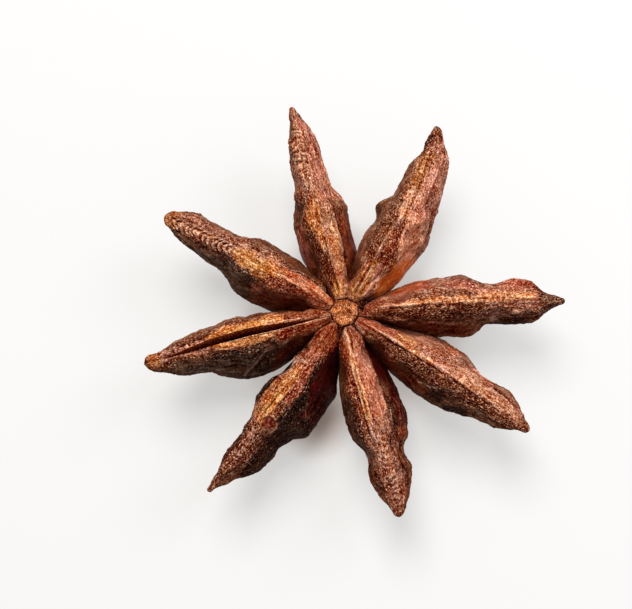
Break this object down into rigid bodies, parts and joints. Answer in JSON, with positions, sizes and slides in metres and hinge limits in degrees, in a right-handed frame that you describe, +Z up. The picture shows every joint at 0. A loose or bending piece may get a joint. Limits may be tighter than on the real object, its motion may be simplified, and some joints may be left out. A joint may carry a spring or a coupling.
{
  "type": "star anise",
  "caption": "Dried star anise: a flat star of woody, boat-shaped, beaked seed pods round a short column, one split open over its glossy seed. Lies on its keels.",
  "frame": {"origin": "middle of the fruit's box, on the surface that it lies on", "axes": "+Z up out of the open face of the star, with the sutures on top; the split pod points to -X and a closed pod to +X"},
  "size_m": [0.0308, 0.0304, 0.0082],
  "materials": {
    "husk": "rough, finely granular dried husk, tan along the sutures and near black on the flanks",
    "seed": "smooth and glossy, like polished nut shell"
  },
  "bodies": {
    "root": {"fruit": "husk", "seed": "seed"}
  },
  "joints": []
}
